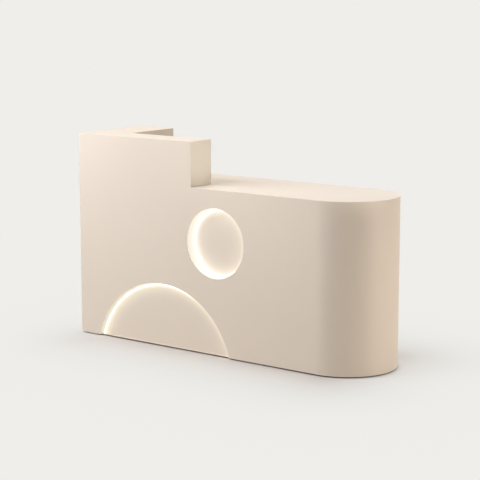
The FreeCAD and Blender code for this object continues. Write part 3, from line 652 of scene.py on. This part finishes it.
def pan_head_screws(name, fittings, places):
    """Pan head screws with a cross recess; places are (point, direction the head faces)."""
    radius = fittings.screw_head
    height = fittings.screw_height
    first = turn_up(name + "_first", (0.0, 0.0), [
        (radius * 0.9, 0.0), (radius, height * 0.15), (radius * 0.97, height * 0.45),
        (radius * 0.82, height * 0.75), (radius * 0.55, height * 0.93), (radius * 0.2, height),
    ], sides=24, filled=True)
    reach = radius * 0.52
    half = radius * 0.1
    bottom = height * 0.35
    above = height * 2
    for x, y in ((reach, half), (half, reach)):
        carve(first, block("cross_cutter", (-x, -y, bottom), (x, y, above)))
    pieces = []
    for place, direction in places:
        piece = copy_of(first)
        piece.rotation_mode = "QUATERNION"
        piece.rotation_quaternion = Vector(direction).to_track_quat("Z", "Y")
        piece.location = place
        pick(piece)
        bpy.ops.object.transform_apply(location=True, rotation=True, scale=True)
        pieces.append(piece)
    pick(first)
    bpy.ops.object.delete()
    return settle(gather(name, pieces))


# Operators


class DESK_OT_lacquer(bpy.types.Operator):
    """Sprays the outer boards, the fronts and the door"""

    bl_idname = "desk.lacquer"
    bl_label = "Lacquer the boards"

    def execute(self, context):
        finishes = context.scene.desk_finishes
        dress(lacquered, satin("satin_lacquer", finishes)[0])
        return {"FINISHED"}


class DESK_OT_light_recesses(bpy.types.Operator):
    """Lights the round recess and the arch recess: lit slots, and painted light on the sleeves and on the
    rims of the panels
    """

    bl_idname = "desk.light_recesses"
    bl_label = "Light the recesses"

    def execute(self, context):
        finishes = context.scene.desk_finishes
        light = context.scene.desk_light
        disc = middle_of("round_recess_disc")
        low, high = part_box("round_recess_disc")
        rim = (high.x - low.x) / 2
        dress(["round_recess_disc"], painted_glow_lacquer(
            "lacquer_painted_glow_round", finishes, light, light.glow, disc.x, disc.z, rim, light.round_reach,
            light.round_painted_glow))
        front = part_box("round_light_diffuser")[0].y
        dress(["round_light_diffuser"], opal_lens_with_painted_glow(
            "opal_round_with_painted_glow", light, front, low.y, light.round_wall, light.glow))
        dress(["round_light_strip"], lamp_strip("strip_round", light, disc.x, disc.z, rim))

        arch_x, arch_z, arch_rim = arc_through("arch_recess_panel")
        dress(["arch_recess_panel"], painted_glow_lacquer(
            "lacquer_painted_glow_arch", finishes, light, light.warm, arch_x, arch_z, arch_rim,
            light.arch_reach, light.arch_painted_glow))
        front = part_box("arch_light_diffuser")[0].y
        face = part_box("arch_recess_panel")[0].y
        dress(["arch_light_diffuser"], opal_lens_with_painted_glow(
            "opal_arch_with_painted_glow", light, front, face, light.arch_wall, light.warm))
        dress(["arch_light_strip"], lamp_strip("strip_arch", light, arch_x, arch_z, arch_rim))
        return {"FINISHED"}


class DESK_OT_inner_boards(bpy.types.Operator):
    """Finishes the carcass boards and the drawer boxes"""

    bl_idname = "desk.inner_boards"
    bl_label = "Finish the inner boards"

    def execute(self, context):
        finishes = context.scene.desk_finishes
        dress(faced_boards, coated(
            "matt_facing", finishes.board, roughness=0.62, grain=900.0, depth=0.0002, swing=0.05))
        dress(drawer_nodes("bottom"), coated(
            "painted_hardboard", finishes.hardboard, roughness=0.55, grain=1400.0, depth=0.0003,
            swing=0.08))
        low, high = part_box("drawer_1_sides")
        bay = (low.x + high.x) / 2
        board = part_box("drawer_1_back")[0].x - low.x
        inner_face = high.x - bay - board
        dress(drawer_nodes("sides"), plywood(
            "plywood_sides", finishes, "X", (inner_face, bay), board, fibres_along_y))
        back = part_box("drawer_1_back")[0].y
        dress(drawer_nodes("back"), plywood(
            "plywood_backs", finishes, "Y", back, board, fibres_along_x))
        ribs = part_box("wall_studs")[0].x
        dress(["wall_studs", "upstand_ribs"], plywood(
            "plywood_studs", finishes, "X", ribs, stud_thick, fibres_along_z))
        for node in ("round_recess_back", "arch_recess_back"):
            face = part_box(node)[0].y
            dress([node], plywood(
                "plywood_" + node, finishes, "Y", face, back_plate_thick, fibres_along_x))
        return {"FINISHED"}


class DESK_OT_fittings(bpy.types.Operator):
    """Finishes the metal and plastic fittings that keep their solid"""

    bl_idname = "desk.fittings"
    bl_label = "Finish the fittings"

    def execute(self, context):
        finishes = context.scene.desk_finishes
        dress(zinc_plated, metal("zinc_plate", finishes.zinc, roughness=0.24))
        dress(["door_pivot_pins"], metal("turned_brass", finishes.brass, roughness=0.2))
        dress(["light_driver"], metal("anodised_case", finishes.driver, roughness=0.34))
        dress(["foot_pads", "cable_bush"], coated(
            "black_nylon", finishes.black_nylon, roughness=0.55, grain=1600.0, depth=0.0002, swing=0.15))
        dress(["drawer_runners", "door_pivot_bushes"], coated(
            "white_nylon", finishes.white_nylon, roughness=0.48, grain=1600.0, depth=0.0002, swing=0.03))
        dress(["light_wiring"], coated(
            "cable_sheath", finishes.sheath, roughness=0.5, grain=900.0, depth=0.0001, swing=0.1))
        dress(["switch_body"], coated(
            "switch_plastic", finishes.switch, roughness=0.22, grain=1200.0, depth=0.0001, swing=0.1))
        return {"FINISHED"}


class DESK_OT_grommet(bpy.types.Operator):
    """Turns the cable grommet and its cap"""

    bl_idname = "desk.grommet"
    bl_label = "Turn the grommet"

    def execute(self, context):
        finishes = context.scene.desk_finishes
        fittings = context.scene.desk_fittings
        plastic = coated(
            "grommet_plastic", finishes.grommet, roughness=0.5, grain=1500.0, depth=0.0002, swing=0.05)
        low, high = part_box("grommet_ring")
        cap_low, cap_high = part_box("grommet_cap")
        centre = ((low.x + high.x) / 2, (low.y + high.y) / 2)
        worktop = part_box("worktop")[1].z
        ring = turn_grommet_ring(fittings, centre, low, high, cap_low, cap_high, worktop)
        dressed(ring, plastic, "desk")
        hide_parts("grommet_ring")
        cap = turn_grommet_cap(fittings, centre, cap_low, cap_high)
        dressed(cap, plastic, "cap")
        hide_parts("grommet_cap")
        return {"FINISHED"}


def turn_grommet_ring(fittings, centre, low, high, cap_low, cap_high, worktop):
    soft = fittings.soft_edge
    flange = (high.x - low.x) / 2
    tube = flange - fittings.grommet_flange
    seat = (cap_high.x - cap_low.x) / 2 + fittings.cap_gap
    bore = seat - fittings.grommet_lip
    seat_height = cap_low.z - fittings.cap_gap
    bend = soft * round_middle
    profile = [
        (tube, low.z + soft), (tube, worktop), (flange, worktop),
        (flange, high.z - soft), (flange - bend, high.z - bend), (flange - soft, high.z),
        (seat + soft, high.z), (seat + bend, high.z - bend), (seat, high.z - soft),
        (seat, seat_height), (bore + soft, seat_height), (bore, seat_height - soft),
        (bore, low.z + soft), (bore + soft, low.z), (tube - soft, low.z), (tube, low.z + soft)]
    return settle(turn_up("grommet_ring_turned", centre, profile, sides=72, filled=False))


def turn_grommet_cap(fittings, centre, low, high):
    soft = fittings.soft_edge
    radius = (high.x - low.x) / 2
    dish = fittings.cap_dish
    bend = soft * round_middle
    profile = [
        (radius - soft, low.z), (radius, low.z + soft), (radius, high.z - soft),
        (radius - bend, high.z - bend), (radius - soft, high.z),
        (radius * 0.88, high.z), (radius * 0.84, high.z - dish / 2), (radius * 0.79, high.z - dish),
        (radius * 0.2, high.z - dish)]
    cap = turn_up("grommet_cap_turned", centre, profile, sides=72, filled=True)
    half = fittings.cable_slot / 2
    slot_y = centre[1] + radius - fittings.cable_slot_depth + half
    overshoot = 0.002
    slot = turn_up(
        "slot_cutter", (centre[0], slot_y), [(half, low.z - overshoot), (half, high.z + overshoot)],
        sides=48, filled=True)
    edit_all(slot)
    hold_points(slot, lambda point: point.y > slot_y + soft)
    bpy.ops.transform.translate(value=(0.0, 2 * radius, 0.0))
    carve(cap, slot)
    soften(cap, soft * 0.4)
    return settle(cap)


class DESK_OT_switch(bpy.types.Operator):
    """Models the paddle of the light switch"""

    bl_idname = "desk.switch"
    bl_label = "Model the switch paddle"

    def execute(self, context):
        finishes = context.scene.desk_finishes
        fittings = context.scene.desk_fittings
        plastic = coated(
            "paddle_plastic", finishes.switch, roughness=0.2, grain=1200.0, depth=0.0001, swing=0.1)
        paddle = model_paddle(fittings)
        low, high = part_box("switch_body")
        paddle.location = (
            high.x - fittings.paddle_set_back, (low.y + high.y) / 2, (low.z + high.z) / 2)
        paddle.rotation_euler = (0.0, fittings.rocker_tilt, 0.0)
        dressed(settle(paddle), plastic, "rocker")
        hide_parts("switch_rocker")
        return {"FINISHED"}


def model_paddle(fittings):
    """Paddle about its own pin: two dished wings, grip ribs on the upper wing and the pin."""
    half = fittings.paddle_width / 2
    reach = fittings.paddle_length / 2
    front = fittings.paddle_front
    rear = fittings.paddle_rear
    paddle = block("switch_paddle", (-rear, -half, -reach), (front, half, reach))
    edit_all(paddle)
    bpy.ops.mesh.bisect(plane_co=(0.0, 0.0, 0.0), plane_no=(0.0, 0.0, 1.0))
    hold_points(paddle, lambda point: abs(point.z) < 1e-6 and point.x > 0)
    bpy.ops.transform.translate(value=(-fittings.paddle_dip, 0.0, 0.0))
    hold_points(paddle, lambda point: abs(point.z) > reach / 2 and point.x < 0)
    tip_lift = rear * 1.6
    bpy.ops.transform.translate(value=(tip_lift, 0.0, 0.0))
    clear_hands()
    soften(paddle, fittings.soft_edge * 0.7, 3)
    pieces = [paddle]
    slope = fittings.paddle_dip / reach
    rib_sink = 0.0008
    rib_rise = 0.0003
    rib_half_height = 0.00035
    rib_half_width = half * 0.62
    rib_soft = 0.00015
    first_rib = reach * 0.5
    rib_pitch = reach * 0.16
    for number in range(fittings.grip_ribs):
        height = first_rib + rib_pitch * number
        face = front - fittings.paddle_dip + slope * height
        rib = block(
            "grip_rib", (face - rib_sink, -rib_half_width, height - rib_half_height),
            (face + rib_rise, rib_half_width, height + rib_half_height))
        soften(rib, rib_soft)
        pieces.append(rib)
    clear_hands()
    bpy.ops.mesh.primitive_cylinder_add(
        vertices=32, radius=fittings.paddle_pin, depth=fittings.paddle_pin_length,
        rotation=(math.radians(90), 0.0, 0.0))
    pin = take_active("paddle_pin")
    bpy.ops.object.transform_apply(location=True, rotation=True, scale=True)
    soften(pin, fittings.pin_soft)
    pieces.append(pin)
    return gather("switch_paddle", pieces)


class DESK_OT_catch(bpy.types.Operator):
    """Models the magnetic catch of the cupboard"""

    bl_idname = "desk.catch"
    bl_label = "Model the door catch"

    def execute(self, context):
        finishes = context.scene.desk_finishes
        fittings = context.scene.desk_fittings
        low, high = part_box("magnet_catch")
        black = coated(
            "catch_case", finishes.black_nylon, roughness=0.5, grain=1600.0, depth=0.0002, swing=0.15)
        zinc = metal("catch_poles", finishes.zinc, roughness=0.3)
        case, poles, screws = model_catch(fittings, low, high)
        dressed(case, black, "desk")
        dressed(poles, zinc, "desk")
        dressed(screws, zinc, "desk")
        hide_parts("magnet_catch")
        return {"FINISHED"}


def model_catch(fittings, low, high):
    """Case with a well for two pole plates, and two screws sunk into its side."""
    pole_rise = 0.0004
    case = block("catch_case", low, (high.x, high.y - pole_rise, high.z))
    soften(case, fittings.soft_edge, 3)
    inset = (high.x - low.x) * 0.2
    well = 0.006
    overshoot = 0.01
    carve(case, block(
        "well_cutter", (low.x + inset, high.y - well, low.z + inset * 2),
        (high.x - inset, high.y + overshoot, high.z - inset * 2)))
    middle = (low.y + high.y - well) / 2
    sink_radius = fittings.screw_head * 1.12
    sink_depth = 0.0032
    heads = []
    for height in (low.z + inset * 3, high.z - inset * 3):
        sink = turn_up(
            "screw_sink", (0.0, 0.0), [(sink_radius, -sink_depth), (sink_radius, overshoot)],
            sides=32, filled=True)
        sink.rotation_euler = (0.0, math.radians(90), 0.0)
        sink.location = (high.x, middle, height)
        pick(sink)
        bpy.ops.object.transform_apply(location=True, rotation=True, scale=True)
        carve(case, sink)
        heads.append(((high.x - sink_depth, middle, height), (1.0, 0.0, 0.0)))
    plates = []
    play = 0.0004
    width = (high.x - low.x - 2 * inset) * 0.24
    for start in (low.x + inset + play, high.x - inset - play - width):
        plate = block(
            "pole", (start, high.y - well, low.z + inset * 2 + play),
            (start + width, high.y, high.z - inset * 2 - play))
        soften(plate, fittings.pin_soft)
        plates.append(plate)
    poles = settle(gather("catch_poles", plates))
    screws = pan_head_screws("catch_screws", fittings, heads)
    return settle(case), poles, screws


class DESK_OT_bracket_screws(bpy.types.Operator):
    """Screws the worktop brackets down"""

    bl_idname = "desk.bracket_screws"
    bl_label = "Screw the brackets"

    def execute(self, context):
        finishes = context.scene.desk_finishes
        fittings = context.scene.desk_fittings
        screws = pan_head_screws("bracket_screws", fittings, bracket_screw_places(fittings))
        zinc = metal("bracket_screw_zinc", finishes.zinc, roughness=0.2)
        dressed(screws, zinc, "desk")
        return {"FINISHED"}


def bracket_screw_places(fittings):
    """One screw in each leg: three brackets along the lining and one at each side of the kneehole."""
    thick = fittings.bracket_thick
    reach = fittings.bracket_leg * 0.6
    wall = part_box("left_wall_inner_panel")[1].x
    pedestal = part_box("partition_left")[0].x
    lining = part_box("kneehole_lining")[1].y
    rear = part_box("partition_left")[1].y
    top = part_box("worktop")[0].z
    places = []
    for portion in (0.2, 0.5, 0.8):
        x = wall + portion * (pedestal - wall)
        places.append(((x, lining + thick, top - reach), (0.0, 1.0, 0.0)))
        places.append(((x, lining + reach, top - thick), (0.0, 0.0, -1.0)))
    y = (lining + rear) / 2 + fittings.bracket_width / 2
    for face, side in ((wall, 1.0), (pedestal, -1.0)):
        places.append(((face + side * thick, y, top - reach), (side, 0.0, 0.0)))
        places.append(((face + side * reach, y, top - thick), (0.0, 0.0, -1.0)))
    return places


class DESK_OT_stage(bpy.types.Operator):
    """Sets the pale floor, the soft lamps and the camera"""

    bl_idname = "desk.stage"
    bl_label = "Set the stage"

    def execute(self, context):
        stage = context.scene.desk_stage
        lay_floor(stage)
        fill_world(context, stage)
        for name, place, target, size, power, rgb, beam in studio_lamps:
            add_lamp(name, place, target, size, power * stage.lamp_level, rgb, beam)
        set_camera(context, stage)
        context.scene.view_settings.view_transform = "Standard"
        return {"FINISHED"}


# Name, place, point it faces, width in metres, power in watts, tint and beam in degrees of each soft lamp
studio_lamps = [
    ("window_lamp", (-5.0, -2.6, 1.8), (0.0, -0.2, 0.5), 2.0, 53.7, (0.90, 1.0, 1.10), 180),
    ("far_lamp", (-6.0, -6.0, 3.6), (0.0, -0.2, 0.5), 6.0, 330.0, (1.05, 1.0, 0.94), 180),
    ("corner_lamp", (-1.3, -1.2, 1.9), (-0.7, -0.2, 0.8), 0.6, 3.1, (0.90, 1.0, 1.10), 180),
    ("corner_edge_lamp", (-1.25, -0.95, 1.15), (-0.85, -0.23, 0.96), 0.4, 0.2, (0.95, 1.0, 1.06), 70),
    ("top_lamp", (-0.2, -0.3, 3.2), (0.0, 0.0, 0.5), 2.4, 15.0, (1.06, 1.0, 0.95), 180),
    ("ridge_lamp", (-0.6, -1.6, 2.7), (0.2, -0.2, 0.7), 0.8, 22.3, (0.95, 1.0, 1.10), 180),
    ("upper_right_lamp", (-0.6, -1.0, 1.4), (0.35, -0.2, 0.74), 0.4, 0.15, (0.97, 1.03, 1.0), 40),
    ("low_right_lamp", (2.9, 0.25, 0.42), (0.6, 0.0, 0.38), 0.7, 21.6, (1.09, 1.0, 0.90), 180),
    ("step_lamp", (3.0, -0.18, 0.95), (-0.115, -0.17, 0.87), 0.16, 0.1, (0.98, 1.0, 0.92), 8),
    ("rear_lamp", (0.0, 3.5, 2.0), (0.0, 0.0, 0.5), 2.0, 57.2, (0.95, 1.0, 1.02), 180),
    ("rear_high_lamp", (-0.9, 2.0, 3.0), (0.0, 0.0, 0.5), 1.6, 24.3, (1.10, 1.0, 0.94), 180),
]


def lay_floor(stage):
    clear_hands()
    bpy.ops.mesh.primitive_circle_add(vertices=96, radius=30.0, fill_type="NGON", location=(0, 0, 0))
    floor = take_active("floor")
    floor.data.materials.append(floor_finish(stage))


def floor_finish(stage):
    """Matt floor that shows its shade near the desk, with painted shade darkening its colour under the
    desk's foot, and the flat backdrop tone away from it.
    """
    material, tree, shader, place = new_finish("pale_floor")
    film = place_group(tree, "sprayed_film", {"Vector": place})
    tone = between(tree, film["Tone"], solid(stage.floor, 0.995), solid(stage.floor, 1.005))
    nearness = put(tree, "ShaderNodeAmbientOcclusion", {"Distance": stage.contact_reach}, samples=8)
    open_share = nearness.outputs["AO"]
    # Painted shade: the floor's colour darkens where the desk's foot encloses it, deepening the shadow
    # under the desk.
    clear = spread(tree, open_share, 0.0, stage.contact_open, 0.0, 1.0)
    painted_contact_shade = solid(stage.floor, stage.contact_shade)
    tree.links.new(between(tree, clear, painted_contact_shade, tone), shader.inputs["Base Color"])
    shader.inputs["Roughness"].default_value = 0.85
    shader.inputs["Specular IOR Level"].default_value = 0.1
    away = away_from_desk(tree, place, stage)
    fade = calc(tree, "EXPONENT", calc(tree, "DIVIDE", away, -stage.shade_reach))
    far = calc(tree, "MULTIPLY", calc(tree, "SUBTRACT", 1.0, fade), open_share)
    flat = put(tree, "ShaderNodeEmission", {"Color": solid(stage.backdrop), "Strength": 1.0})
    blend = put(tree, "ShaderNodeMixShader", {0: calc(tree, "MULTIPLY", far, seen_by_eye(tree))})
    tree.links.new(shader.outputs["BSDF"], blend.inputs[1])
    tree.links.new(flat.outputs["Emission"], blend.inputs[2])
    output = next(node for node in tree.nodes if node.type == "OUTPUT_MATERIAL")
    tree.links.new(blend.outputs["Shader"], output.inputs["Surface"])
    return material


def away_from_desk(tree, place, stage):
    """Distance on the floor from the desk's outline, which is drawn in at both ends."""
    low, high = [Vector(corner) for corner in cad_bounds]
    middle = (low + high) / 2
    half = (high - low) / 2 - Vector((stage.shade_inset, 0.0, 0.0))
    point = put(tree, "ShaderNodeSeparateXYZ", {"Vector": place}).outputs
    squares = []
    for axis in (0, 1):
        aside = calc(tree, "ABSOLUTE", calc(tree, "SUBTRACT", point[axis], middle[axis]))
        outside = calc(tree, "MAXIMUM", calc(tree, "SUBTRACT", aside, half[axis]), 0.0)
        squares.append(calc(tree, "MULTIPLY", outside, outside))
    return calc(tree, "SQRT", calc(tree, "ADD", *squares))


def seen_by_eye(tree):
    """One where the camera sees the surface, directly or in a mirror."""
    path = tree.nodes.new("ShaderNodeLightPath").outputs
    return calc(tree, "MAXIMUM", path["Is Camera Ray"], path["Is Glossy Ray"])


def fill_world(context, stage):
    world = bpy.data.worlds.new("studio")
    context.scene.world = world
    world.use_nodes = True
    tree = world.node_tree
    tree.nodes.clear()
    even = put(tree, "ShaderNodeBackground", {"Color": solid(stage.fill), "Strength": stage.ambient})
    flat = put(tree, "ShaderNodeBackground", {"Color": solid(stage.backdrop), "Strength": 1.0})
    blend = put(tree, "ShaderNodeMixShader", {0: seen_by_eye(tree)})
    tree.links.new(even.outputs["Background"], blend.inputs[1])
    tree.links.new(flat.outputs["Background"], blend.inputs[2])
    output = tree.nodes.new("ShaderNodeOutputWorld")
    tree.links.new(blend.outputs["Shader"], output.inputs["Surface"])


def add_lamp(name, place, target, size, power, rgb, beam):
    clear_hands()
    turn = (Vector(target) - Vector(place)).to_track_quat("-Z", "Y").to_euler()
    bpy.ops.object.light_add(type="AREA", location=place, rotation=turn)
    lamp = bpy.context.active_object
    lamp.name = name
    lamp.data.size = size
    lamp.data.spread = math.radians(beam)
    lamp.data.energy = power
    lamp.data.color = rgb


def set_camera(context, stage):
    clear_hands()
    bpy.ops.object.camera_add(
        location=stage.eye, rotation=(math.radians(90) - stage.dip, 0.0, stage.heading))
    camera = bpy.context.active_object
    camera.data.lens = stage.focal
    camera.data.sensor_width = 36.0
    camera.data.clip_end = 200.0
    context.scene.camera = camera


class DESK_PT_panel(bpy.types.Panel):
    """Lists the steps that dress the desk"""

    bl_idname = "DESK_PT_panel"
    bl_label = "Reception desk"
    bl_space_type = "VIEW_3D"
    bl_region_type = "UI"
    bl_category = "Desk"

    def draw(self, context):
        for step in steps:
            self.layout.operator(step.bl_idname)
        for group in (context.scene.desk_finishes, context.scene.desk_light,
                      context.scene.desk_fittings, context.scene.desk_stage):
            box = self.layout.box()
            for name in group.__annotations__:
                box.prop(group, name)


steps = [
    DESK_OT_lacquer, DESK_OT_light_recesses, DESK_OT_inner_boards, DESK_OT_fittings, DESK_OT_grommet,
    DESK_OT_switch, DESK_OT_catch, DESK_OT_bracket_screws, DESK_OT_stage]
settings = {
    "desk_finishes": DeskFinishes,
    "desk_light": DeskLight,
    "desk_fittings": DeskFittings,
    "desk_stage": DeskStage,
}


def register():
    for group in settings.values():
        bpy.utils.register_class(group)
    for step in steps:
        bpy.utils.register_class(step)
    bpy.utils.register_class(DESK_PT_panel)
    for name, group in settings.items():
        setattr(bpy.types.Scene, name, PointerProperty(type=group))


def unregister():
    for name in settings:
        delattr(bpy.types.Scene, name)
    bpy.utils.unregister_class(DESK_PT_panel)
    for step in reversed(steps):
        bpy.utils.unregister_class(step)
    for group in reversed(list(settings.values())):
        bpy.utils.unregister_class(group)


def main():
    register()
    bpy.ops.desk.lacquer()
    bpy.ops.desk.light_recesses()
    bpy.ops.desk.inner_boards()
    bpy.ops.desk.fittings()
    bpy.ops.desk.grommet()
    bpy.ops.desk.switch()
    bpy.ops.desk.catch()
    bpy.ops.desk.bracket_screws()
    bpy.ops.desk.stage()


if __name__ == "__main__":
    main()
